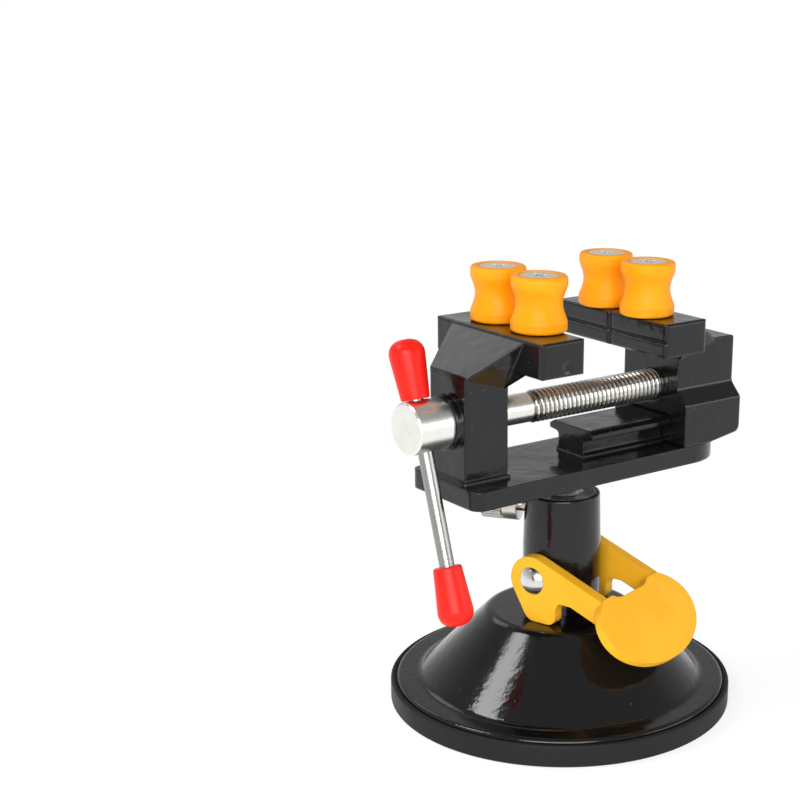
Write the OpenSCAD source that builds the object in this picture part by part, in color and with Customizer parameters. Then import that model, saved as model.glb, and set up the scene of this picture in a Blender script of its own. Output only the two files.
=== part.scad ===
// Suction base vise: a small cast vise on a ball joint, a column and a cam locked suction base.
// Millimetres, +Z up. The origin is on the ground under the column's axis.
// The lead screw runs along X with the fixed jaw at -X; the jaws are wide along Y.

/* [Suction base] */
// Outer diameter of the rubber pad
pad_d = 126; // [120:1:132]
// Height of the pad's outer wall
pad_h = 8.3; // [7.5:0.1:9]
// Width of rubber outside the steel cover's rim
rim_inset = 2.2; // [1.6:0.1:3]
// Width of the cover's flat rim outside its cone
rim_flat = 8.55; // [7:0.05:11]
// Diameter of the cover's flat top
hub_d = 54; // [50:0.5:58]
// Height of the cover's flat top above the ground
hub_z = 34.7; // [32:0.1:37]
// Sheet thickness of the cover
sheet_t = 1.6; // [1.2:0.1:2]

/* [Column] */
// Diameter of the column's straight lower part
column_d = 28.4; // [28:0.1:30]
// Diameter of the column at its top
column_top_d = 27.2; // [27:0.1:28.4]
// Height of the column's top above the ground
column_z = 79.5; // [78.5:0.5:81]
// Diameter of the ball in the column's top
ball_d = 20; // [19:0.2:20]
// Direction of the clamping screw, seen from above, from +X
lock_yaw = 125; // [110:1:140]

/* [Cam lever] */
// Turn of the lever's pin away from the screw's direction
lever_yaw = 16.6; // [0:0.2:30]
// Height of the pin above the cover's top
pin_rise = 15.4; // [15.4:0.1:16.4]
// Width over the fork's two arms
fork_w = 38.2; // [36.5:0.2:42]
// Thickness of each arm
arm_t = 4.5; // [3.5:0.1:4.5]
// Depth of each arm
arm_depth = 9; // [8:0.2:10]
// Slope of the arms below level
arm_slope = 20.3; // [18:0.1:22]
// Width of the oval thumb plate
thumb_w = 55; // [50:1:58]
// Length of the thumb plate along its slope
thumb_l = 33.8; // [31:0.2:36]
// Slope of the thumb plate below level
thumb_slope = 47.5; // [45:0.5:50]

/* [Vise body] */
// Width of the bed
bed_w = 39; // [37:0.5:42]
// Thickness of the bed
bed_t = 6.7; // [6:0.1:8]
// Height of the bed's top above the ground
bed_z = 92.8; // [92.5:0.1:94]
// Length of the bed from its square end to its round end
bed_l = 119.3; // [116:0.5:124]
// Width of the jaw bars
jaw_w = 60; // [56:0.5:66]
// Height of the jaw bars' tops above the ground
jaw_z = 142.7; // [142:0.1:144]
// Height of a jaw bar
bar_h = 12.2; // [11.5:0.1:12.6]
// Thickness of the fixed jaw's bar
bar_t = 18.7; // [18:0.1:20]
// Width of the post behind the fixed jaw
post_w = 20.4; // [20:0.2:23]
// Opening between the bars as shown
opening = 36.2; // [34:0.2:38]

/* [Lead screw] */
// Height of the screw's axis above the ground
screw_z = 113.1; // [112.5:0.1:114]
// Crest diameter of the thread
thread_d = 11.6; // [11:0.1:12]
// Advance for one turn
thread_pitch = 2; // [1.75:0.05:2.5]
// Diameter of the plain shank
shank_d = 10.6; // [10:0.1:10.8]
// Diameter of the cross-drilled head
head_d = 18; // [17:0.2:19]
// Length of the head
head_l = 13.4; // [12.6:0.1:14]
// Diameter of the tommy bar
rod_d = 5.2; // [4.8:0.1:5.6]
// Lean of the tommy bar as it lies
rod_lean = 18; // [0:1:30]

/* [Rollers] */
// Diameter of a roller's lips
roller_d = 19.5; // [18.5:0.1:20]
// Diameter of a roller's waist
waist_d = 16.2; // [15:0.1:17]
// Height of a roller
roller_h = 19.1; // [18:0.1:20]
// Distance between the two rollers of a jaw
roller_gap = 22.8; // [22:0.2:24]
// Diameter of a roller screw's head
screw_head_d = 13.2; // [12.4:0.1:13.4]

/* [Hidden] */
$fn = 64;

// Clearances: running fits, screwed fits and loose gaps
run = 0.05;
tight = 0.02;
loose = 0.3;
// Overshoot of a cutter past the face that it opens
past = 1;

// Pad and cover
pad_r = pad_d / 2;
rim_r = pad_r - rim_inset;
cone_foot_r = rim_r - rim_flat;
rim_seat = 2.4;
rim_z = pad_h + 1.05;
rim_drop = 2.3;
seal_r = 36;
membrane_r = 20;
membrane_z = 3.2;
membrane_t = 3.2;
boss_r = 14;
boss_z = 14.2;
insert_r = 9;
insert_t = 2.5;
insert_z = 8;
insert_hub_r = 6.5;
insert_top = 15;

// Column, from its spigot up
spigot_r = 8;
spigot_z = hub_z - 10;
neck_r = 11;
neck_h = 4.9;
column_r = column_d / 2;
column_top_r = column_top_d / 2;
straight_z = column_z - 20;
ball_r = ball_d / 2;
ball_z = column_z - 6.9;
ball_play = 0.1;
ball_bore_r = ball_r + ball_play;
cup_h = 7.9;
cup_z = ball_z - 12.5;
cup_lift = 0.05;
ring_h = 4.2;
ring_r = ball_bore_r + 1.5;
washer_t = 1.5;
nut_h = 6;
nut_across = 24;
stud_r = 4;
stud_thread_r = 3;
stud_bore_r = stud_r + loose;
eye_r = 7;
eye_w = 10;
eye_bore_r = norm([eye_r, eye_w / 2]) + 0.4;
eye_floor_z = hub_z + 3.8;

// Cam lever: pin, arms, foot and thumb plate
pin_z = hub_z + pin_rise;
pin_r = 3;
rivet_head_r = 5.2;
rivet_head_h = 2.2;
lift = 2;
boss_arm_r = arm_depth;
foot_gap = 0.1;
foot_drop = pin_rise - foot_gap;
foot_heel = 5;
foot_toe = 10.2;
foot_side = 210;
notch_z = -6.2;
thumb_t = 3.2;
thumb_rise = 21.2;
thumb_reach = 33.7;
plate_start = 20.8;
crotch_reach = 22.8;
crotch_r = 8;
fork_in = fork_w / 2 - arm_t;

// Clamping screw
lock_r = 2.5;
lock_head_r = 6;
lock_tip = ball_r + 0.15;
lock_collar = [16, 21.3];
lock_knurl = [22, 29.5];

// Bed, post, bars and rail
bed_x = -53;
bed_under = bed_z - bed_t;
bed_r = bed_w / 2;
bar_z = jaw_z - bar_h;
fixed_x = -15.6;
fixed_back = fixed_x - bar_t;
post_x = -50.8;
post_front = -32.7;
post_boss_r = 9.6;
ramp_low_z = jaw_z - 12.5;
ramp_root_z = bar_z - 6.4;
ramp_w = 42;
dimple_x = fixed_x - 7.7;
dimple_z = bar_z + 3.2;
moving_x = fixed_x + opening;
moving_t = bar_t + 1;
moving_back = moving_x + moving_t;
leg_gap = 1.1;
leg_l = 27.6;
leg_x = moving_back + leg_gap;
leg_end = leg_x + leg_l;
leg_bore_lead = 3;
leg_bore_play = 0.1;
leg_w = 29.4;
leg_top = jaw_z - 11.8;
moving_ramp_l = 19.1;
saddle_w = 39.2;
saddle_z = 108.4;
saddle_slope = 5;
saddle_gap = 0.2;
saddle_flat = 13.2;
saddle_rise = 2.2;
rail_x = 3.4;
rail_end = 60;
rail_w = 24;
rail_z = bed_z + 10.4;
flange_t = 3.5;
web_w = 14;
rail_play = 0.25;

// Lead screw and tommy bar
thread_r = thread_d / 2;
thread_depth = 0.9;
core_r = thread_r - thread_depth;
thread_x = -16.9;
thread_end = leg_end - 1.5;
thread_sides = 20;
shank_r = shank_d / 2;
head_r = head_d / 2;
head_x = -67.7;
head_back = head_x + head_l;
post_boss_x = head_back + 1;
rod_x = head_x + 6;
rod_r = rod_d / 2;
rod_play = 0.08;
groove_x = post_front - 1.5;
ring_t = 1.1;
groove_r = core_r;
clip_r = 7.4;
cap_l = 20.4;
cap_narrow_r = 4.9;
cap_wide_r = 6.15;
cap_grip = 12;
rod_up = head_r + 0.2;
rod_down = 47.6;

// Rollers
roller_r = roller_d / 2;
waist_r = waist_d / 2;
lip_h = 3.3;
roller_lift = 0.1;
roller_z = jaw_z + roller_lift;
fixed_roller_x = fixed_x - 5.3;
moving_roller_x = moving_x + 7.5;
roller_screw_r = 3;
roller_screw_l = 10;
screw_head_r = screw_head_d / 2;
screw_head_t = 3.6;
screw_edge = 0.5;
screw_top = roller_h - 0.25;
recess_play = 0.2;

// ---- plane geometry helpers ----

function unit(v) = v / norm(v);

function turned(v, a) = [v.x * cos(a) - v.y * sin(a), v.x * sin(a) + v.y * cos(a)];

function arc(centre, r, from, to, steps = 12) =
    [for (i = [0 : steps]) centre + turned([r, 0], from + (to - from) * i / steps)];

// The arc that rounds the corner b between a and c
function corner(a, b, c, r, steps) =
    let (u = unit(a - b), w = unit(c - b), half = acos(u * w) / 2,
         centre = b + unit(u + w) * r / sin(half),
         start = b + u * r / tan(half) - centre, end = b + w * r / tan(half) - centre,
         swing = (180 - 2 * half) * sign(cross(start, end)))
    [for (i = [0 : steps]) centre + turned(start, swing * i / steps)];

// An outline from [x, y, corner radius] entries
function rounded(p, steps = 6) =
    [for (i = [0 : len(p) - 1])
        let (a = p[(i + len(p) - 1) % len(p)], b = p[i], c = p[(i + 1) % len(p)])
        each b[2] > 0
            ? corner([a.x, a.y], [b.x, b.y], [c.x, c.y], b[2], steps)
            : [[b.x, b.y]]];

// Extrudes an outline in X and Z along Y, centred
module along_y(w) {
    rotate([90, 0, 0])
        linear_extrude(w, center = true)
            children();
}

// Lays a shape that stands along Z down along X from x
module along_x(x, z = 0) {
    translate([x, 0, z])
        rotate([0, 90, 0])
            children();
}

// A block with rounded vertical edges
module slab(x0, x1, w, z0, z1, r) {
    translate([0, 0, z0])
        linear_extrude(z1 - z0)
            polygon(rounded([[x0, -w / 2, r], [x1, -w / 2, r], [x1, w / 2, r], [x0, w / 2, r]]));
}

// ---- suction base ----

module suction_pad() {
    color([0.05, 0.05, 0.055])
        difference() {
            rotate_extrude($fn = 128)
                polygon(rounded([
                    [0, membrane_z, 0], [membrane_r, membrane_z, 2], [seal_r, 0, 2],
                    [pad_r, 0, 0.8], [pad_r, pad_h, 0.8], [rim_r + 0.6, pad_h, 0.4],
                    [rim_r + 0.6, rim_z - rim_drop - 0.1, 0],
                    [rim_r - rim_seat, rim_z - rim_drop - 0.1, 0],
                    [rim_r - rim_seat, rim_z - sheet_t - 0.05, 0],
                    [cone_foot_r, rim_z - sheet_t - 0.05, 0.5],
                    [cone_foot_r - 6, membrane_t + 2, 2], [membrane_r + 2, membrane_z + membrane_t, 2],
                    [boss_r, membrane_z + membrane_t, 0.8], [boss_r, boss_z, 1], [0, boss_z, 0]]));
            translate([0, 0, insert_z - loose])
                cylinder(h = insert_t + 2 * loose, r = insert_r + loose);
            translate([0, 0, insert_z])
                cylinder(h = boss_z, r = insert_hub_r + loose);
        }
}

module pad_insert() {
    color([0.62, 0.63, 0.64])
        difference() {
            union() {
                translate([0, 0, insert_z])
                    cylinder(h = insert_t, r = insert_r);
                translate([0, 0, insert_z])
                    cylinder(h = insert_top - insert_z, r = insert_hub_r);
            }
            translate([0, 0, insert_z + 1])
                cylinder(h = insert_top, r = stud_thread_r + tight);
        }
}

// Section of the pressed cover, lowered and drawn in by the sheet's thickness on its inside
module cover_section() {
    slope = atan2(hub_z - rim_z, cone_foot_r - hub_d / 2);
    draw = sheet_t * tan(slope / 2);
    top_r = hub_d / 2;
    polygon(rounded([
        [spigot_r + run, hub_z, 0], [top_r, hub_z, 5], [cone_foot_r, rim_z, 4],
        [rim_r, rim_z, 1.4], [rim_r, rim_z - rim_drop, 0], [rim_r - sheet_t, rim_z - rim_drop, 0],
        [rim_r - sheet_t, rim_z - sheet_t, 0], [cone_foot_r - draw, rim_z - sheet_t, 5.5],
        [top_r - draw, hub_z - sheet_t, 3.5], [spigot_r + run, hub_z - sheet_t, 0]], 8));
}

module suction_cover() {
    color([0.04, 0.04, 0.045])
        rotate_extrude($fn = 128)
            cover_section();
}

// ---- column ----

module column_blank() {
    rotate_extrude()
        polygon(rounded([
            [0, spigot_z, 0], [spigot_r, spigot_z, 0.8], [spigot_r, hub_z, 0], [neck_r, hub_z, 0],
            [neck_r, hub_z + neck_h, 0.5], [column_r, hub_z + neck_h, 1.6],
            [column_r, straight_z, 40], [column_top_r, column_z, 0.9], [0, column_z, 0]]));
}

// Slot that lets the pin rise and fall
module pin_slot() {
    slot_r = pin_r + loose;
    for (z = [0, -lift])
        translate([0, 0, z])
            along_x(-column_r - past)
                cylinder(h = column_d + 2 * past, r = slot_r);
    translate([-column_r - past, -slot_r, -lift])
        cube([column_d + 2 * past, 2 * slot_r, lift]);
}

module column() {
    color([0.045, 0.045, 0.05])
        difference() {
            column_blank();
            translate([0, 0, spigot_z - past])
                cylinder(h = eye_floor_z - spigot_z + past + 0.1, r = stud_bore_r);
            translate([0, 0, eye_floor_z])
                cylinder(h = cup_z - eye_floor_z + 0.1, r = eye_bore_r);
            translate([0, 0, cup_z])
                cylinder(h = column_z, r = ball_bore_r);
            translate([0, 0, column_z - ring_h])
                cylinder(h = ring_h + past, r = ring_r + tight);
            rotate([0, 0, lever_yaw])
                translate([0, 0, pin_z])
                    pin_slot();
            rotate([0, 0, lock_yaw])
                along_x(ball_r - past, ball_z)
                    cylinder(h = column_r, r = lock_r + run);
        }
}

module column_washer() {
    color([0.7, 0.71, 0.72])
        translate([0, 0, hub_z - sheet_t - washer_t])
            difference() {
                cylinder(h = washer_t, r = boss_r);
                translate([0, 0, -past])
                    cylinder(h = washer_t + 2 * past, r = spigot_r + run);
            }
}

module column_nut() {
    color([0.66, 0.67, 0.69])
        translate([0, 0, hub_z - sheet_t - washer_t - nut_h])
            difference() {
                cylinder(h = nut_h, r = nut_across / sqrt(3), $fn = 6);
                translate([0, 0, -past])
                    cylinder(h = nut_h + 2 * past, r = spigot_r + tight);
            }
}

module socket_ring() {
    color([0.07, 0.07, 0.075])
        difference() {
            translate([0, 0, column_z - ring_h])
                cylinder(h = ring_h, r = ring_r);
            translate([0, 0, ball_z])
                sphere(r = ball_bore_r);
        }
}

// ---- cam lever ----

// Places a shape in the lever's frame: the pin along X, the handle towards -Y
module at_pin() {
    rotate([0, 0, lever_yaw])
        translate([0, 0, pin_z])
            children();
}

module pull_stud() {
    color([0.68, 0.69, 0.7])
        at_pin()
            difference() {
                union() {
                    along_x(-eye_w / 2)
                        cylinder(h = eye_w, r = eye_r);
                    translate([0, 0, insert_top - pin_z])
                        cylinder(h = pin_z - insert_top - 1, r = stud_r);
                    translate([0, 0, insert_z + 1.5 - pin_z])
                        cylinder(h = insert_top - insert_z, r = stud_thread_r);
                }
                along_x(-eye_w / 2 - past)
                    cylinder(h = eye_w + 2 * past, r = pin_r + tight);
            }
}

// Domed head: the cap of a sphere
module rivet_head() {
    cap_r = (rivet_head_r * rivet_head_r + rivet_head_h * rivet_head_h) / (2 * rivet_head_h);
    intersection() {
        translate([0, 0, rivet_head_h - cap_r])
            sphere(r = cap_r);
        cylinder(h = rivet_head_h, r = rivet_head_r);
    }
}

module lever_rivet() {
    reach = fork_w / 2 + run;
    color([0.86, 0.86, 0.88])
        at_pin() {
            along_x(-reach)
                cylinder(h = 2 * reach, r = pin_r);
            along_x(reach)
                rivet_head();
            mirror([1, 0, 0])
                along_x(reach)
                    rivet_head();
        }
}

// Outline of one arm, seen along the pin: boss, cam foot and arm up to the thumb plate
module arm_outline() {
    side = [cos(foot_side), sin(foot_side)] * boss_arm_r;
    down = turned(side / boss_arm_r, 90);
    heel = side + down * (-foot_drop - side.y) / down.y;
    top = [sin(arm_slope), cos(arm_slope)] * arm_depth;
    along = [cos(arm_slope), -sin(arm_slope)];
    facet = 5;
    difference() {
        polygon(concat(
            rounded([
                [top.x, top.y, 0], [top.x + 60 * along.x, top.y + 60 * along.y, 0],
                [60 * along.x, 60 * along.y, 0], [-notch_z / tan(arm_slope), notch_z, 3],
                [foot_toe + 1.4, notch_z, 1.2], [foot_toe, notch_z - 3, 1],
                [foot_toe, -foot_drop + 0.2, 3], [heel.x, heel.y, foot_heel],
                [side.x, side.y, 0]]),
            arc([0, 0], boss_arm_r, foot_side - facet, 90 - arm_slope + facet, 26)));
        rotate(-thumb_slope)
            translate([-20, thumb_rise - 0.5])
                square([100, 60]);
    }
}

// The oval thumb plate with the round throat between the arms
module thumb_outline() {
    throat = fork_in - 0.4;
    difference() {
        polygon([for (a = [0 : 5 : 355]) [thumb_w / 2 * cos(a), thumb_l / 2 * sin(a) - thumb_reach]]);
        translate([-thumb_w / 2, -plate_start])
            square([thumb_w, plate_start]);
        polygon(rounded([
            [-throat, 0, 0], [-throat, -crotch_reach, crotch_r],
            [throat, -crotch_reach, crotch_r], [throat, 0, 0]]));
    }
}

module cam_lever() {
    color([0.98, 0.6, 0.05])
        at_pin()
            difference() {
                union() {
                    for (x = [-fork_in, fork_w / 2])
                        translate([x, 0, 0])
                            rotate([90, 0, -90])
                                linear_extrude(arm_t)
                                    intersection() {
                                        arm_outline();
                                        translate([-20, -20])
                                            square([62, 40]);
                                    }
                    rotate([thumb_slope, 0, 0])
                        translate([0, 0, thumb_rise - thumb_t])
                            linear_extrude(thumb_t)
                                thumb_outline();
                }
                along_x(-fork_w)
                    cylinder(h = 2 * fork_w, r = pin_r + run);
            }
}

// ---- ball joint ----

module friction_cup() {
    color([0.9, 0.9, 0.86])
        difference() {
            translate([0, 0, cup_z + cup_lift])
                cylinder(h = cup_h, r = ball_bore_r - ball_play);
            translate([0, 0, ball_z])
                sphere(r = ball_bore_r);
        }
}

module ball_stud() {
    neck = 4.5;
    flange_r = 11;
    color([0.2, 0.2, 0.21]) {
        translate([0, 0, ball_z])
            sphere(r = ball_r);
        translate([0, 0, ball_z])
            cylinder(h = bed_under - ball_z, r = neck);
        translate([0, 0, bed_under - 2])
            cylinder(h = 2, r = flange_r);
        translate([0, 0, bed_under - 1])
            cylinder(h = 1 + 4.5, r = stud_r);
    }
}

module lock_screw() {
    ridges = 28;
    color([0.75, 0.75, 0.77])
        rotate([0, 0, lock_yaw]) {
            along_x(lock_tip, ball_z)
                cylinder(h = lock_collar[0] - lock_tip + 0.5, r = lock_r);
            along_x(lock_collar[0], ball_z)
                cylinder(h = lock_collar[1] - lock_collar[0], r = lock_head_r);
            along_x(lock_collar[1] - 0.5, ball_z)
                cylinder(h = 2, r = lock_head_r - 1.2);
            along_x(lock_knurl[0], ball_z)
                difference() {
                    cylinder(h = lock_knurl[1] - lock_knurl[0], r = lock_head_r);
                    for (i = [0 : ridges - 1])
                        rotate([0, 0, i * 360 / ridges])
                            translate([lock_head_r, 0, -past])
                                rotate([0, 0, 45])
                                    translate([-0.3, -0.3, 0])
                                        cube([0.6, 0.6, 20]);
                }
        }
}

// ---- vise body ----

// Ramp behind a jaw bar: it falls and narrows from the bar's top to the post or the leg.
// It starts inside the bar's rear face at back_x and runs towards +X (dir 1) or -X (dir -1).
module ramp(back_x, dir, reach, narrow, low_z, root_x) {
    wide = ramp_w / 2;
    into = 1;
    side = [[-into, wide, jaw_z - 0.2], [reach, narrow, low_z], [reach, narrow, low_z - 1.6],
            [root_x, narrow, ramp_root_z], [-into, wide, bar_z + 0.5]];
    n = len(side);
    points = [for (s = [-dir, dir], p = side) [back_x + dir * p.x, s * p.y, p.z]];
    right = [[0, 1, 2], [0, 2, 3], [0, 3, 4]];
    left = [for (f = right) [for (i = [2, 1, 0]) f[i] + n]];
    strips = [for (i = [0 : n - 1]) let (j = (i + 1) % n) [i, i + n, j + n, j]];
    polyhedron(points, concat(right, left, strips));
}

// A jaw bar with rounded edges
module bar(x0, x1) {
    intersection() {
        along_y(jaw_w)
            polygon(rounded([[x0, bar_z, 1.2], [x1, bar_z, 1.2], [x1, jaw_z, 1], [x0, jaw_z, 1]], 4));
        slab(x0, x1, jaw_w, bar_z - past, jaw_z + past, 1.6);
        translate([x0 - past, 0, 0])
            rotate([90, 0, 90])
                linear_extrude(x1 - x0 + 2 * past)
                    polygon(rounded([[-jaw_w / 2, bar_z, 1], [jaw_w / 2, bar_z, 1],
                                     [jaw_w / 2, jaw_z, 1], [-jaw_w / 2, jaw_z, 1]], 4));
    }
}

// V grooves in a bar's gripping face: one upright and one level
module grip_grooves(x, level) {
    translate([x, 0, bar_z - past])
        rotate([0, 0, 45])
            translate([-1, -1, 0])
                cube([2, 2, bar_h + 2 * past]);
    if (level)
        translate([x, 0, bar_z + bar_h * 0.46])
            rotate([0, 45, 0])
                cube([1.5, jaw_w + 2 * past, 1.5], center = true);
}

module roller_holes(x) {
    for (y = [-roller_gap / 2, roller_gap / 2])
        translate([x, y, jaw_z - roller_screw_l - past])
            cylinder(h = roller_screw_l + 2 * past, r = roller_screw_r + tight);
}

module bed() {
    end_x = bed_x + bed_l;
    translate([0, 0, bed_under])
        linear_extrude(bed_t)
            polygon(concat(
                rounded([[end_x - bed_r, bed_r, 0], [bed_x, bed_r, 4], [bed_x, -bed_r, 4],
                         [end_x - bed_r, -bed_r, 0]]),
                arc([end_x - bed_r, 0], bed_r, -87, 87, 28)));
}

// T-shaped guide rail with a bevelled flange and a flared foot
module rail_section(play = 0) {
    w = rail_w / 2 + play;
    web = web_w / 2 + play;
    under = rail_z - flange_t - play;
    polygon([[-web - 1.2, bed_z - 0.5], [web + 1.2, bed_z - 0.5], [web + 1.2, bed_z + 0.6],
             [web, bed_z + 1.8], [web, under - 1], [web + 1, under], [w, under + 0.4],
             [w, rail_z - 1.4 + play], [w - 2.4, rail_z + play],
             [-w + 2.4, rail_z + play], [-w, rail_z - 1.4 + play],
             [-w, under + 0.4], [-web - 1, under], [-web, under - 1], [-web, bed_z + 1.8],
             [-web - 1.2, bed_z + 0.6]]);
}

module rail(x0, x1, play = 0) {
    translate([x0, 0, 0])
        rotate([90, 0, 90])
            linear_extrude(x1 - x0)
                rail_section(play);
}

// The post behind the fixed jaw, with its flared foot, its top under the bar and its boss
module post() {
    top_z = ramp_low_z - 1.1;
    slab(post_x - 1, post_front + 1, post_w + 2, bed_z - 0.5, bed_z + 1.2, 1.5);
    slab(post_x, post_front, post_w, bed_z - 0.5, top_z, 0.5);
    slab(fixed_back - 3, post_front, post_w, top_z - 3, bar_z + 1.5, 0.5);
    along_x(post_boss_x, screw_z)
        cylinder(h = post_x - post_boss_x + 1, r = post_boss_r);
}

module vise_body() {
    dimple_r = 6;
    color([0.05, 0.05, 0.055])
        difference() {
            union() {
                bed();
                post();
                bar(fixed_back, fixed_x);
                ramp(fixed_back, -1, fixed_back - post_x - 0.1, post_w / 2 - 0.1, ramp_low_z, 0.4);
                rail(rail_x, rail_end);
            }
            along_x(post_boss_x - past, screw_z)
                cylinder(h = post_front - post_boss_x + 2 * past, r = shank_r + run);
            along_x(post_front - 1.9, screw_z)
                cylinder(h = 1.9 + past, r = clip_r + 0.5);
            translate([0, 0, bed_under - past])
                cylinder(h = 4.7 + past, r = stud_r + tight);
            translate([dimple_x, -jaw_w / 2 - dimple_r + 0.5, dimple_z])
                sphere(r = dimple_r);
            grip_grooves(fixed_x, false);
            roller_holes(fixed_roller_x);
        }
}

// The leg and the wide saddle that straddles the rail: a side outline crossed with an end outline
module saddle() {
    low = bed_z + saddle_gap;
    leg = leg_w / 2;
    wide = saddle_w / 2;
    shoulder_z = saddle_z + saddle_slope;
    intersection() {
        along_y(saddle_w + 2 * past)
            polygon(rounded([[leg_x, low, 0], [leg_x + saddle_flat, low, 6],
                             [leg_end, low + saddle_rise, 2.5], [leg_end, leg_top, 1.2],
                             [leg_x, leg_top, 0]]));
        translate([leg_x - past, 0, 0])
            rotate([90, 0, 90])
                linear_extrude(leg_end - leg_x + 2 * past)
                    polygon(rounded([[-wide, low - past, 0], [wide, low - past, 0],
                                     [wide, saddle_z, 2], [leg, shoulder_z, 3], [leg, leg_top + past, 0],
                                     [-leg, leg_top + past, 0], [-leg, shoulder_z, 3],
                                     [-wide, saddle_z, 2]]));
    }
}

module moving_jaw() {
    color([0.05, 0.05, 0.055])
        difference() {
            union() {
                bar(moving_x, moving_back);
                ramp(moving_back, 1, moving_ramp_l, leg_w / 2 - 0.1, leg_top,
                     leg_x - moving_back + 0.4);
                saddle();
            }
            along_x(moving_back - leg_bore_lead, screw_z)
                cylinder(h = leg_end - moving_back + leg_bore_lead + past, r = thread_r + leg_bore_play);
            rail(leg_x - past, leg_end + past, rail_play);
            grip_grooves(moving_x, true);
            roller_holes(moving_roller_x);
        }
}

// ---- lead screw ----

// Places a shape on the tommy bar's line: +Z runs up along the bar from the screw's axis
module on_rod() {
    translate([rod_x, 0, screw_z])
        rotate([-rod_lean, 0, 0])
            children();
}

// Corners of the thread's section at one angle: two at the root, two at the crest
function thread_ring(turn, crest) =
    let (x = thread_x + 0.9 + thread_pitch * turn, a = 360 * turn, half = thread_pitch / 2,
         root = core_r - 0.08)
    [for (q = [[-half + 0.15, root], [-0.28, crest], [0.28, crest], [half - 0.15, root]])
        [x + q.x, -q.y * sin(a), screw_z + q.y * cos(a)]];

// Right-hand thread: one tube of four sides that winds round the core and runs out at both ends
module thread() {
    turns = (thread_end - thread_x - 2.6) / thread_pitch;
    steps = ceil(turns * thread_sides);
    fade = thread_sides / 2;
    points = [for (i = [0 : steps])
        let (in_out = min(1, (i + 1) / fade, (steps - i + 1) / fade))
        each thread_ring(turns * i / steps, core_r + thread_depth * in_out)];
    walls = [for (i = [0 : steps - 1], k = [0 : 3])
        let (a = 4 * i + k, b = 4 * i + (k + 1) % 4)
        each [[a, b, b + 4], [a, b + 4, a + 4]]];
    last = 4 * steps;
    ends = [[2, 1, 0], [3, 2, 0], [last, last + 1, last + 2], [last, last + 2, last + 3]];
    polyhedron(points, concat(walls, ends));
}

module lead_screw() {
    chamfer = 0.6;
    color([0.8, 0.8, 0.79])
        difference() {
            union() {
                along_x(0, screw_z)
                    rotate_extrude()
                        polygon([
                            [0, head_x], [head_r - chamfer, head_x], [head_r, head_x + chamfer],
                            [head_r, head_back], [shank_r, head_back], [shank_r, groove_x],
                            [groove_r, groove_x], [groove_r, groove_x + ring_t + 0.1],
                            [shank_r, groove_x + ring_t + 0.1], [shank_r, thread_x - chamfer],
                            [core_r, thread_x], [core_r, thread_end - 1], [core_r - 1, thread_end],
                            [0, thread_end]]);
                thread();
            }
            on_rod()
                cylinder(h = head_d + 2 * past, r = rod_r + rod_play, center = true);
        }
}

module ring_on_screw(x, t, r_in, r_out) {
    along_x(x, screw_z)
        difference() {
            cylinder(h = t, r = r_out);
            translate([0, 0, -past])
                cylinder(h = t + 2 * past, r = r_in);
        }
}

module thrust_washer() {
    color([0.6, 0.61, 0.62])
        ring_on_screw(head_back + 0.02, post_boss_x - head_back - 0.15, shank_r + run, head_r - 0.3);
}

module retaining_ring() {
    color([0.3, 0.3, 0.32])
        ring_on_screw(groove_x + 0.05, ring_t, groove_r + tight, clip_r);
}

module tommy_bar() {
    color([0.72, 0.73, 0.73])
        on_rod()
            translate([0, 0, -rod_down - cap_grip])
                cylinder(h = rod_down + rod_up + 2 * cap_grip, r = rod_r);
}

// Moulded cap: narrow at the bar, wide near its domed end
module tommy_cap() {
    dome = 5.2;
    color([0.86, 0.13, 0.12])
        difference() {
            rotate_extrude()
                polygon(concat(
                    [[0, 0], [cap_narrow_r - 0.4, 0], [cap_narrow_r, 0.4], [cap_wide_r, cap_l - dome]],
                    [for (a = [10 : 10 : 90])
                        [cap_wide_r * pow(cos(a), 0.8), cap_l - dome + dome * pow(sin(a), 0.9)]]));
            translate([0, 0, -past])
                cylinder(h = cap_grip + past + 0.1, r = rod_r + tight);
        }
}

module tommy_cap_top() {
    on_rod()
        translate([0, 0, rod_up])
            tommy_cap();
}

module tommy_cap_low() {
    on_rod()
        translate([0, 0, -rod_down])
            mirror([0, 0, 1])
                tommy_cap();
}

// ---- rollers ----

// Spool with a lip at each end, a hollow waist and a countersunk recess
module roller() {
    waist_h = roller_h - 2 * lip_h;
    side = [for (u = [-1 : 0.125 : 1])
        [roller_r - (roller_r - waist_r) * pow(1 - u * u, 1.4), lip_h + waist_h * (1 + u) / 2]];
    recess_r = screw_head_r + recess_play;
    color([1, 0.72, 0.08])
        difference() {
            rotate_extrude()
                polygon(concat(
                    [[0, 0]], arc([roller_r - 1, 1], 1, -90, 0, 4), side,
                    arc([roller_r - 1.2, roller_h - 1.2], 1.2, 0, 90, 5), [[0, roller_h]]));
            translate([0, 0, -past])
                cylinder(h = roller_h + 2 * past, r = roller_screw_r + run);
            translate([0, 0, screw_top - screw_head_t - 0.15])
                cylinder(h = screw_head_t - screw_edge, r1 = roller_screw_r + run, r2 = recess_r);
            translate([0, 0, screw_top - screw_edge - 0.15])
                cylinder(h = roller_h, r = recess_r);
        }
}

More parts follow.
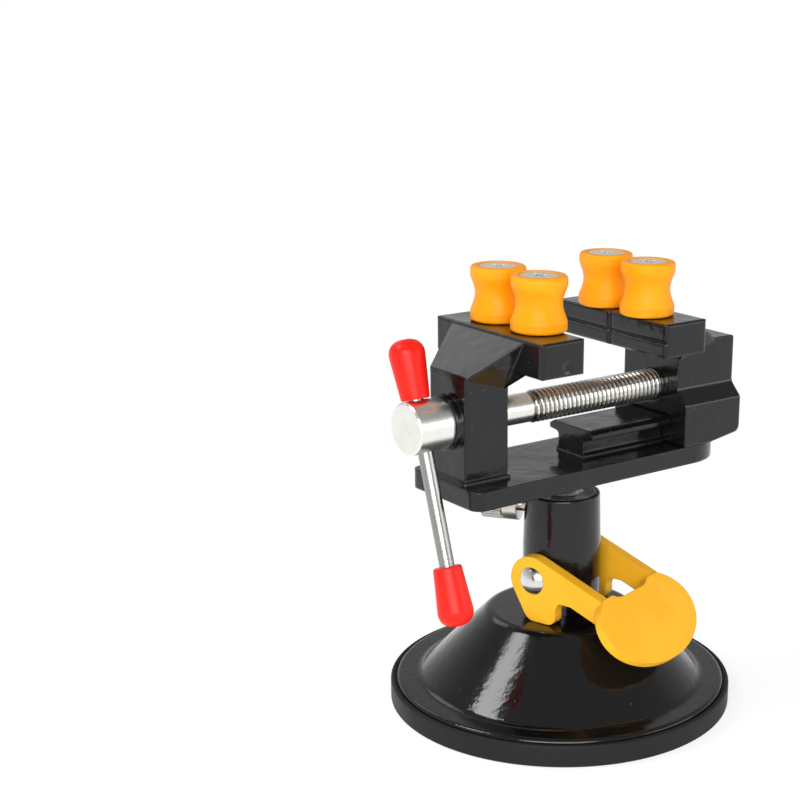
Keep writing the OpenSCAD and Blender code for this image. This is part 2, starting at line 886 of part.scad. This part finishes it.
// Countersunk screw with a cross recess
module roller_screw() {
    cross_l = 6.4;
    cross_w = 1.3;
    cross_depth = 1.8;
    color([0.85, 0.86, 0.87])
        difference() {
            union() {
                translate([0, 0, -roller_lift - roller_screw_l])
                    cylinder(h = roller_screw_l + screw_top - screw_head_t + 0.6, r = roller_screw_r);
                translate([0, 0, screw_top - screw_head_t])
                    cylinder(h = screw_head_t - screw_edge, r1 = roller_screw_r - 0.1, r2 = screw_head_r);
                translate([0, 0, screw_top - screw_edge])
                    cylinder(h = screw_edge, r = screw_head_r);
            }
            for (a = [0, 90])
                translate([0, 0, screw_top])
                    rotate([0, 0, a])
                        cube([cross_l, cross_w, 2 * cross_depth], center = true);
        }
}

// Side of the vise: left is +Y, seen from the screw's head
module at_roller(x, side) {
    translate([x, side * roller_gap / 2, roller_z])
        children();
}

suction_pad();
pad_insert();
suction_cover();
column();
column_washer();
column_nut();
socket_ring();
pull_stud();
lever_rivet();
cam_lever();
friction_cup();
ball_stud();
lock_screw();
vise_body();
moving_jaw();
lead_screw();
thrust_washer();
retaining_ring();
tommy_bar();
tommy_cap_top();
tommy_cap_low();
at_roller(fixed_roller_x, 1) roller();  // roller_fixed_left
at_roller(fixed_roller_x, -1) roller();  // roller_fixed_right
at_roller(moving_roller_x, 1) roller();  // roller_moving_left
at_roller(moving_roller_x, -1) roller();  // roller_moving_right
at_roller(fixed_roller_x, 1) roller_screw();  // roller_screw_fixed_left
at_roller(fixed_roller_x, -1) roller_screw();  // roller_screw_fixed_right
at_roller(moving_roller_x, 1) roller_screw();  // roller_screw_moving_left
at_roller(moving_roller_x, -1) roller_screw();  // roller_screw_moving_right
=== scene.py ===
import math

import bmesh
import bpy
from mathutils import Matrix, Vector


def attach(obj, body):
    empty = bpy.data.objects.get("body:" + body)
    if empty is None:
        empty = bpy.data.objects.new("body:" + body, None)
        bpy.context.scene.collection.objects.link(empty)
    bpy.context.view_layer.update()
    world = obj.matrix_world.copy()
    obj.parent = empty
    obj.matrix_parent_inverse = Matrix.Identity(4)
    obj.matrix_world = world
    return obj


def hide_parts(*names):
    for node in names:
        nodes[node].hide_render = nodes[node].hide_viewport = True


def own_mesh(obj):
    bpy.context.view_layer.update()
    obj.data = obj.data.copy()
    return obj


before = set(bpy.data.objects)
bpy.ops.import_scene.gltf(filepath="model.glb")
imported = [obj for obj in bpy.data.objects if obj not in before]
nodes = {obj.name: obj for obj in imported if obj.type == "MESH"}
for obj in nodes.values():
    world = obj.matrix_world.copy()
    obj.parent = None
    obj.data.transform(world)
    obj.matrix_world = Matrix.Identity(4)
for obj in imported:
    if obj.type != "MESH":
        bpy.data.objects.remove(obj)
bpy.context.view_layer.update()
scene = bpy.context.scene

# Where the metal pieces lie, in metres, for the marks that follow their axes
SCREW_Z = 0.1131
THREAD_ROOT_R = 0.0049
THREAD_CREST_R = 0.00555
THREAD_START_X = -0.0165
THREAD_RUN_OUT = 0.002
HEAD_FACE_X = -0.0676
HEAD_FACE_FADE = 0.0004
ROD_LEAN = math.radians(18)
ROD_X = -0.0617

# The rubber pad, in millimetres
PAD_R = 63
PAD_H = 8.3
SEAT_R = 61.4
SEAT_EDGE_R = 58.4
SEAT_Z = 7.9
RIM_UNDER_Z = 7.6
CONE_FOOT_R = 52.25
MIDDLE_R = 30
SEAL_R = 36
MEMBRANE_R = 20
MEMBRANE_Z = 3.2
BOSS_R = 14
BOSS_Z = 14.2
BORE_R = 7.2
INSERT_R = 9.6
INSERT_Z = (4.8, 11.4)
RIB_COUNT = 5
RIB_FIRST_R = 41
RIB_PITCH = 4
RIB_FOOT = 0.5
RIB_TOP = 0.2
RIB_DEPTH = 0.35

# Light and stage
SKY_LOW = 0.8
SKY_HIGH = 0.33
SKY_TURN_Z = 0.6
AIM = (0, 0, 0.08)
FLOOR_HALF = 4
FLOOR_TINT = 0.45
FLOOR_GLOW = 0.68
GLOW_FROM_R = 0.09
GLOW_TO_R = 0.32

# The photograph's camera
CAMERA_AT = (-0.36210, -0.44003, 0.25874)
CAMERA_FORWARD = (0.6068, 0.7374, -0.2969)
CAMERA_ROLL = math.radians(-0.89)
CAMERA_LENS = 74.24
CAMERA_SENSOR = 36
CAMERA_SHIFT = (-0.2034, 0.1056)


# ---- material graphs ----

class Graph:
    """A material's node tree with short calls for its nodes."""

    def __init__(self, name):
        self.mat = bpy.data.materials.new(name)
        self.mat.use_nodes = True
        self.tree = self.mat.node_tree
        self.tree.nodes.clear()
        self.out = self.tree.nodes.new("ShaderNodeOutputMaterial")
        self.bsdf = self.tree.nodes.new("ShaderNodeBsdfPrincipled")
        self.link(self.bsdf.outputs[0], self.out.inputs["Surface"])
        self.coord = self.tree.nodes.new("ShaderNodeTexCoord").outputs["Object"]

    def link(self, a, b):
        self.tree.links.new(a, b)

    def feed(self, socket, value):
        if hasattr(value, "is_linked"):
            self.link(value, socket)
        else:
            socket.default_value = value

    def set(self, **values):
        for key, value in values.items():
            self.feed(self.bsdf.inputs[key.replace("_", " ")], value)

    def math(self, op, a, b=0.0):
        n = self.tree.nodes.new("ShaderNodeMath")
        n.operation = op
        for socket, value in zip(n.inputs, (a, b)):
            self.feed(socket, value)
        return n.outputs[0]

    def place(self, origin=(0, 0, 0), turn=(0, 0, 0), scale=(1, 1, 1)):
        """Coordinates moved so that origin is 0, then turned, then scaled."""
        shift = self.tree.nodes.new("ShaderNodeVectorMath")
        shift.operation = "SUBTRACT"
        self.link(self.coord, shift.inputs[0])
        shift.inputs[1].default_value = origin
        m = self.tree.nodes.new("ShaderNodeMapping")
        self.link(shift.outputs[0], m.inputs["Vector"])
        m.inputs["Rotation"].default_value = turn
        m.inputs["Scale"].default_value = scale
        return m.outputs[0]

    def split(self, vector):
        n = self.tree.nodes.new("ShaderNodeSeparateXYZ")
        self.link(vector, n.inputs[0])
        return n.outputs

    def noise(self, scale, detail=2.0, rough=0.5, vector=None):
        n = self.tree.nodes.new("ShaderNodeTexNoise")
        self.link(vector or self.coord, n.inputs["Vector"])
        n.inputs["Scale"].default_value = scale
        n.inputs["Detail"].default_value = detail
        n.inputs["Roughness"].default_value = rough
        return n.outputs[0]

    def speck(self, scale, size):
        """1 inside small round specks of a Voronoi pattern, else 0."""
        n = self.tree.nodes.new("ShaderNodeTexVoronoi")
        self.link(self.coord, n.inputs["Vector"])
        n.inputs["Scale"].default_value = scale
        return self.fit(n.outputs["Distance"], size, size * 0.6)

    def fit(self, value, a, b, c=0.0, d=1.0):
        """Maps a..b to c..d with soft ends."""
        n = self.tree.nodes.new("ShaderNodeMapRange")
        n.interpolation_type = "SMOOTHSTEP"
        self.feed(n.inputs["Value"], value)
        for socket, v in zip(("From Min", "From Max", "To Min", "To Max"), (a, b, c, d)):
            n.inputs[socket].default_value = v
        return n.outputs[0]

    def mix(self, factor, a, b):
        n = self.tree.nodes.new("ShaderNodeMix")
        n.data_type = "RGBA"
        self.feed(n.inputs[0], factor)
        for socket, value in ((n.inputs[6], a), (n.inputs[7], b)):
            self.feed(socket, (*value, 1) if isinstance(value, tuple) else value)
        return n.outputs[2]

    def radius(self, a, b):
        return self.math("SQRT", self.math("ADD", self.math("MULTIPLY", a, a),
                                           self.math("MULTIPLY", b, b)))

    def bump(self, height, distance, strength=1.0, normal=None):
        n = self.tree.nodes.new("ShaderNodeBump")
        n.inputs["Distance"].default_value = distance
        n.inputs["Strength"].default_value = strength
        self.link(height, n.inputs["Height"])
        if normal is not None:
            self.link(normal, n.inputs["Normal"])
        return n.outputs[0]

    def soft_edges(self, radius):
        n = self.tree.nodes.new("ShaderNodeBevel")
        n.samples = 6
        n.inputs["Radius"].default_value = radius
        return n.outputs[0]


def black_paint(name, wave, edge):
    """Thick gloss enamel: orange peel over the waviness of a casting or a pressing, with dust nibs."""
    g = Graph(name)
    nibs = g.speck(170, 0.07)
    broad = g.noise(28, 3.0, 0.6)
    normal = g.soft_edges(edge)
    normal = g.bump(g.noise(60, 2.0, 0.45), 0.0012, wave, normal)
    normal = g.bump(g.noise(380, 2.0, 0.5), 0.00016, 0.55, normal)
    normal = g.bump(nibs, 0.00012, 0.5, normal)
    ink = (0.0045, 0.0048, 0.0052)
    dust = (0.08, 0.08, 0.08)
    g.set(Base_Color=g.mix(g.math("MULTIPLY", nibs, 0.4), ink, dust),
          Roughness=g.fit(broad, 0.3, 0.75, 0.10, 0.19), Normal=normal)
    g.bsdf.inputs["Specular IOR Level"].default_value = 0.42
    g.bsdf.inputs["Coat Weight"].default_value = 0.05
    g.bsdf.inputs["Coat Roughness"].default_value = 0.05
    return g.mat


def rubber(name):
    """Dull rubber with a faint bloom and a fine grain."""
    g = Graph(name)
    bloom = g.noise(45, 4.0, 0.6)
    grain = g.noise(1500, 2.0, 0.6)
    normal = g.bump(g.noise(90), 0.0004, 0.2, g.soft_edges(0.0004))
    normal = g.bump(grain, 0.00006, 0.6, normal)
    g.bsdf.inputs["Specular IOR Level"].default_value = 0.3
    g.set(Base_Color=g.mix(g.fit(bloom, 0.35, 0.75), (0.004, 0.004, 0.0045), (0.009, 0.009, 0.01)),
          Roughness=g.fit(bloom, 0.3, 0.7, 0.5, 0.68), Normal=normal)
    return g.mat


def amber(name, green, blue):
    """Moulded nylon: a little light passes in, and the skin has faint sink waves."""
    g = Graph(name)
    cloud = g.noise(55, 3.0, 0.55)
    fine = g.noise(900, 2.0, 0.5)
    normal = g.bump(g.noise(120, 2.0, 0.5), 0.0006, 0.22, g.soft_edges(0.0006))
    normal = g.bump(fine, 0.00005, 0.5, normal)
    deep = (0.95, green, blue)
    light = (0.98, green + 0.05, blue + 0.01)
    g.set(Base_Color=g.mix(g.fit(cloud, 0.3, 0.75), deep, light),
          Roughness=g.fit(cloud, 0.25, 0.8, 0.36, 0.46), Normal=normal)
    g.bsdf.inputs["Specular IOR Level"].default_value = 0.16
    g.bsdf.inputs["Subsurface Weight"].default_value = 0.12
    g.bsdf.inputs["Subsurface Radius"].default_value = (1.0, 0.35, 0.08)
    g.bsdf.inputs["Subsurface Scale"].default_value = 0.002
    return g.mat


def red_cap(name):
    """Moulded cap with a parting line along its two sides."""
    g = Graph(name)
    x = g.split(g.place((ROD_X, 0, SCREW_Z)))[0]
    line = g.fit(g.math("ABSOLUTE", x), 0.00022, 0.0)
    cloud = g.noise(70, 3.0, 0.5)
    normal = g.bump(line, 0.00012, 0.6, g.soft_edges(0.0004))
    normal = g.bump(g.noise(200, 2.0, 0.5), 0.0003, 0.15, normal)
    g.set(Base_Color=g.mix(g.fit(cloud, 0.3, 0.75), (0.84, 0.013, 0.007), (0.92, 0.018, 0.01)),
          Roughness=g.fit(cloud, 0.25, 0.8, 0.3, 0.4), Normal=normal)
    g.bsdf.inputs["Specular IOR Level"].default_value = 0.2
    g.bsdf.inputs["Subsurface Weight"].default_value = 0.06
    g.bsdf.inputs["Subsurface Radius"].default_value = (1.0, 0.15, 0.1)
    g.bsdf.inputs["Subsurface Scale"].default_value = 0.0015
    return g.mat


def lead_nickel(name):
    """Nickel plate on the lead screw: thread roots darkened as painted shade, and turned marks on the
    shank and the head.
    """
    g = Graph(name)
    x, y, z = g.split(g.place((0, 0, SCREW_Z)))
    r = g.radius(y, z)
    threaded = g.fit(x, THREAD_START_X - THREAD_RUN_OUT, THREAD_START_X)
    # Painted shade: a mask that is 1 down in the thread roots and 0 on the crests.
    root_shade = g.math("MULTIPLY", g.fit(r, THREAD_CREST_R, THREAD_ROOT_R), threaded)
    cloud = g.noise(60, 4.0, 0.6)
    pits = g.speck(420, 0.12)
    turned = g.noise(1.0, 3.0, 0.6, g.place(scale=(2600, 40, 40)))
    rings = g.math("SINE", g.math("MULTIPLY", r, 9000))
    face = g.fit(x, HEAD_FACE_X + HEAD_FACE_FADE, HEAD_FACE_X)
    face_rings = g.math("MULTIPLY", g.math("MULTIPLY", rings, face), 0.25)
    height = g.math("ADD", g.math("MULTIPLY", turned, 0.6), face_rings)
    plated = g.mix(g.fit(cloud, 0.3, 0.7), (0.84, 0.825, 0.775), (0.93, 0.92, 0.875))
    plated = g.mix(g.math("MULTIPLY", pits, 0.5), plated, (0.25, 0.24, 0.22))
    # Painted shade: the plated colour is mixed toward dark brown in the thread roots.
    g.set(Base_Color=g.mix(g.math("MULTIPLY", root_shade, 0.8), plated, (0.10, 0.088, 0.07)), Metallic=1.0,
          Roughness=g.fit(cloud, 0.25, 0.8, 0.22, 0.34),
          Normal=g.bump(height, 0.00004, 0.7, g.soft_edges(0.00035)))
    return g.mat


def steel(name, colour, rough, stretch=(900, 900, 900), turn=(0, 0, 0), scratches=0.5):
    """Plated or bright steel, with fine marks along one direction."""
    g = Graph(name)
    marks = g.noise(1.0, 3.0, 0.6, g.place((ROD_X, 0, SCREW_Z), turn, stretch))
    cloud = g.noise(90, 4.0, 0.6)
    low = tuple(c * 0.86 for c in colour)
    g.set(Base_Color=g.mix(g.fit(cloud, 0.3, 0.75), low, colour), Metallic=1.0,
          Roughness=g.fit(cloud, 0.25, 0.8, rough, rough + 0.12),
          Normal=g.bump(marks, 0.00003, scratches, g.soft_edges(0.0003)))
    return g.mat


def nylon(name):
    """White nylon with a fine grain."""
    g = Graph(name)
    g.set(Base_Color=g.mix(g.noise(80), (0.7, 0.7, 0.66), (0.78, 0.78, 0.74)),
          Roughness=0.5, Normal=g.bump(g.noise(700), 0.00005, 0.5))
    return g.mat


def dress(mat, *names):
    """Gives one material to each named node."""
    for name in names:
        o = nodes[name]
        o.data.materials.clear()
        o.data.materials.append(mat)


cast = black_paint("cast_black", 0.5, 0.0011)
pressed = black_paint("pressed_black", 0.10, 0.0006)
dark = black_paint("turned_black", 0.14, 0.0006)
amber_lever = amber("amber_lever", 0.46, 0.02)
amber_roller = amber("amber_roller", 0.33, 0.001)

dress(cast, "vise_body", "moving_jaw")
dress(pressed, "suction_cover")
dress(dark, "column", "socket_ring")
dress(amber_lever, "cam_lever")
dress(amber_roller, "roller_fixed_left", "roller_fixed_right", "roller_moving_left",
      "roller_moving_right")
dress(lead_nickel("lead_nickel"), "lead_screw")
dress(red_cap("red_cap"), "tommy_cap_top", "tommy_cap_low")
dress(steel("rod_steel", (0.36, 0.36, 0.34), 0.2, (1500, 1500, 30), (-ROD_LEAN, 0, 0), 0.6),
      "tommy_bar")
dress(steel("knurl_nickel", (0.7, 0.68, 0.64), 0.24), "lock_screw")
dress(steel("rivet_nickel", (0.80, 0.80, 0.79), 0.16), "lever_rivet")
# Roller screws: zinc plating, with a painted reflection of the orange rollers as a warm yellow tint in
# their colour.
dress(steel("zinc_screw_orange_reflection", (0.95, 0.94, 0.86), 0.3), "roller_screw_fixed_left",
      "roller_screw_fixed_right", "roller_screw_moving_left", "roller_screw_moving_right")
dress(steel("zinc_plain", (0.66, 0.665, 0.67), 0.3), "pad_insert", "column_washer", "column_nut",
      "pull_stud", "thrust_washer", "retaining_ring", "ball_stud")
dress(nylon("cup_nylon"), "friction_cup")


# ---- the rubber pad, as two revolved pieces ----

def revolve(name, profile, mat, body, steps=192):
    """A closed ring or disc from its (radius, z) outline, given anticlockwise."""
    bm = bmesh.new()
    rings = []
    for i in range(steps):
        a = 2 * math.pi * i / steps
        rings.append([bm.verts.new((r * math.cos(a), r * math.sin(a), z)) for r, z in profile])
    for i in range(steps):
        p, q = rings[i], rings[(i + 1) % steps]
        for k in range(len(profile)):
            m = (k + 1) % len(profile)
            bm.faces.new((p[k], q[k], q[m], p[m]))
    bmesh.ops.remove_doubles(bm, verts=bm.verts, dist=1e-6)
    bmesh.ops.recalc_face_normals(bm, faces=bm.faces)
    mesh = bpy.data.meshes.new(name)
    bm.to_mesh(mesh)
    bm.free()
    for p in mesh.polygons:
        p.use_smooth = True
    o = bpy.data.objects.new(name, mesh)
    scene.collection.objects.link(o)
    o.data.materials.append(mat)
    o.modifiers.new("normals", "WEIGHTED_NORMAL").keep_sharp = True
    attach(o, body)
    return o


def rounded(points, steps=5):
    """Corners of an outline given as (r, z, corner radius) in mm, rounded, in metres."""
    made = []
    for i, (x, y, rad) in enumerate(points):
        if rad <= 0:
            made.append((x, y))
            continue
        a = Vector(points[i - 1][:2])
        b = Vector((x, y))
        c = Vector(points[(i + 1) % len(points)][:2])
        u = (a - b).normalized()
        w = (c - b).normalized()
        half = math.acos(max(-1, min(1, u.dot(w)))) / 2
        centre = b + (u + w).normalized() * rad / math.sin(half)
        s = (b + u * rad / math.tan(half)) - centre
        e = (b + w * rad / math.tan(half)) - centre
        swing = math.atan2(s.x * e.y - s.y * e.x, s.dot(e))
        for k in range(steps + 1):
            t = swing * k / steps
            made.append((centre.x + s.x * math.cos(t) - s.y * math.sin(t),
                         centre.y + s.x * math.sin(t) + s.y * math.cos(t)))
    return [(x / 1000, y / 1000) for x, y in made]


rubber_mat = rubber("pad_rubber")
ribs = []
for k in range(RIB_COUNT):
    r = RIB_FIRST_R + RIB_PITCH * k
    ribs += [(r - RIB_FOOT, 0, 0.1), (r - RIB_TOP, RIB_DEPTH, 0.1), (r + RIB_TOP, RIB_DEPTH, 0.1),
             (r + RIB_FOOT, 0, 0.1)]
pad_ring = revolve("pad_ring", rounded([
    (MIDDLE_R, 1.2, 0), (SEAL_R, 0, 1.2), *ribs, (PAD_R - 0.8, 0, 0.5), (PAD_R, 0.7, 0.5),
    (PAD_R, PAD_H - 0.6, 0.6), (PAD_R - 0.5, PAD_H, 0.4), (SEAT_R, PAD_H, 0.3), (SEAT_R, SEAT_Z, 0),
    (SEAT_EDGE_R, 7.0, 0), (SEAT_EDGE_R, RIM_UNDER_Z, 0), (CONE_FOOT_R, 7.65, 0.5),
    (CONE_FOOT_R - 5.95, 5.2, 1.5), (MIDDLE_R, 5.8, 0)]), rubber_mat, "base")
pad_centre = revolve("pad_centre", rounded([
    (0.01, MEMBRANE_Z, 0), (MEMBRANE_R, MEMBRANE_Z, 1.5), (MIDDLE_R, 1.2, 0), (MIDDLE_R, 5.8, 0),
    (MEMBRANE_R + 2, 6.4, 1.5), (BOSS_R, 6.4, 0.8), (BOSS_R, BOSS_Z, 1), (BORE_R, BOSS_Z, 0.3),
    (BORE_R, INSERT_Z[1], 0), (INSERT_R, INSERT_Z[1], 0), (INSERT_R, INSERT_Z[0], 0),
    (0.01, INSERT_Z[0], 0)]), rubber_mat, "base")
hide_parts("suction_pad")
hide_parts("suction_pad")
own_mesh(pad_centre)


# ---- stage, light and camera ----

def area(name, place, width, height, watts):
    """A rectangular lamp that faces the middle of the object."""
    lamp = bpy.data.lights.new(name, "AREA")
    lamp.shape = "RECTANGLE"
    lamp.size = width
    lamp.size_y = height
    lamp.energy = watts
    o = bpy.data.objects.new(name, lamp)
    scene.collection.objects.link(o)
    o.location = place
    o.rotation_euler = (Vector(AIM) - Vector(place)).to_track_quat("-Z", "Y").to_euler()


def glow_floor():
    """Pale floor: it takes the object's shadow, and turns to plain white farther out."""
    mesh = bpy.data.meshes.new("floor")
    corners = [(FLOOR_HALF * x, FLOOR_HALF * y, 0) for x, y in ((-1, -1), (1, -1), (1, 1), (-1, 1))]
    mesh.from_pydata(corners, [], [(0, 1, 2, 3)])
    o = bpy.data.objects.new("floor", mesh)
    scene.collection.objects.link(o)
    g = Graph("floor")
    g.set(Base_Color=(FLOOR_TINT, FLOOR_TINT, FLOOR_TINT, 1), Roughness=0.9,
          Emission_Color=(1, 1, 1, 1), Emission_Strength=FLOOR_GLOW)
    g.bsdf.inputs["Specular IOR Level"].default_value = 0.1
    x, y, _ = g.split(g.coord)
    white = g.tree.nodes.new("ShaderNodeEmission")
    blend = g.tree.nodes.new("ShaderNodeMixShader")
    g.link(g.fit(g.radius(x, y), GLOW_FROM_R, GLOW_TO_R), blend.inputs[0])
    g.link(g.bsdf.outputs[0], blend.inputs[1])
    g.link(white.outputs[0], blend.inputs[2])
    g.link(blend.outputs[0], g.out.inputs["Surface"])
    mesh.materials.append(g.mat)


def studio_world():
    """White where the camera sees it; pale low down and dark overhead in what the paint mirrors."""
    world = bpy.data.worlds.new("studio")
    scene.world = world
    world.use_nodes = True
    make = world.node_tree.nodes.new
    link = world.node_tree.links.new
    path = make("ShaderNodeLightPath")
    seen = make("ShaderNodeMath")
    seen.operation = "MAXIMUM"
    link(path.outputs["Is Camera Ray"], seen.inputs[0])
    link(path.outputs["Is Transmission Ray"], seen.inputs[1])
    sky = make("ShaderNodeSeparateXYZ")
    link(make("ShaderNodeTexCoord").outputs["Generated"], sky.inputs[0])
    level = make("ShaderNodeMapRange")
    link(sky.outputs["Z"], level.inputs["Value"])
    level.inputs["From Max"].default_value = SKY_TURN_Z
    level.inputs["To Min"].default_value = SKY_LOW
    level.inputs["To Max"].default_value = SKY_HIGH
    strength = make("ShaderNodeMath")
    strength.operation = "MAXIMUM"
    link(seen.outputs[0], strength.inputs[0])
    link(level.outputs[0], strength.inputs[1])
    back = world.node_tree.nodes["Background"]
    link(strength.outputs[0], back.inputs["Strength"])
    back.inputs["Color"].default_value = (1, 1, 1, 1)


def photo_camera():
    """The camera fitted to the photograph, with its slight roll and off-centre frame."""
    lens = bpy.data.cameras.new("camera")
    lens.sensor_width = CAMERA_SENSOR
    lens.lens = CAMERA_LENS
    lens.shift_x, lens.shift_y = CAMERA_SHIFT
    lens.clip_start = 0.02
    lens.clip_end = 50
    o = bpy.data.objects.new("camera", lens)
    scene.collection.objects.link(o)
    scene.camera = o
    forward = Vector(CAMERA_FORWARD).normalized()
    side = forward.cross(Vector((0, 0, 1))).normalized()
    side = Matrix.Rotation(CAMERA_ROLL, 3, forward) @ side
    above = side.cross(forward)
    basis = Matrix((side, above, -forward)).transposed()
    o.matrix_world = Matrix.Translation(CAMERA_AT) @ basis.to_4x4()


glow_floor()
studio_world()
area("dome_box", (-0.70, 0.38, 0.97), 0.30, 0.44, 4.0)
area("ramp_box", (-0.04, 0.95, 0.81), 0.5, 0.36, 0.8)
area("low_right_strip", (0.90, -1.12, 0.42), 1.1, 0.28, 3.0)
area("front_box", (-0.95, -1.15, 0.62), 1.3, 0.6, 20)
photo_camera()

scene.view_settings.view_transform = "Standard"
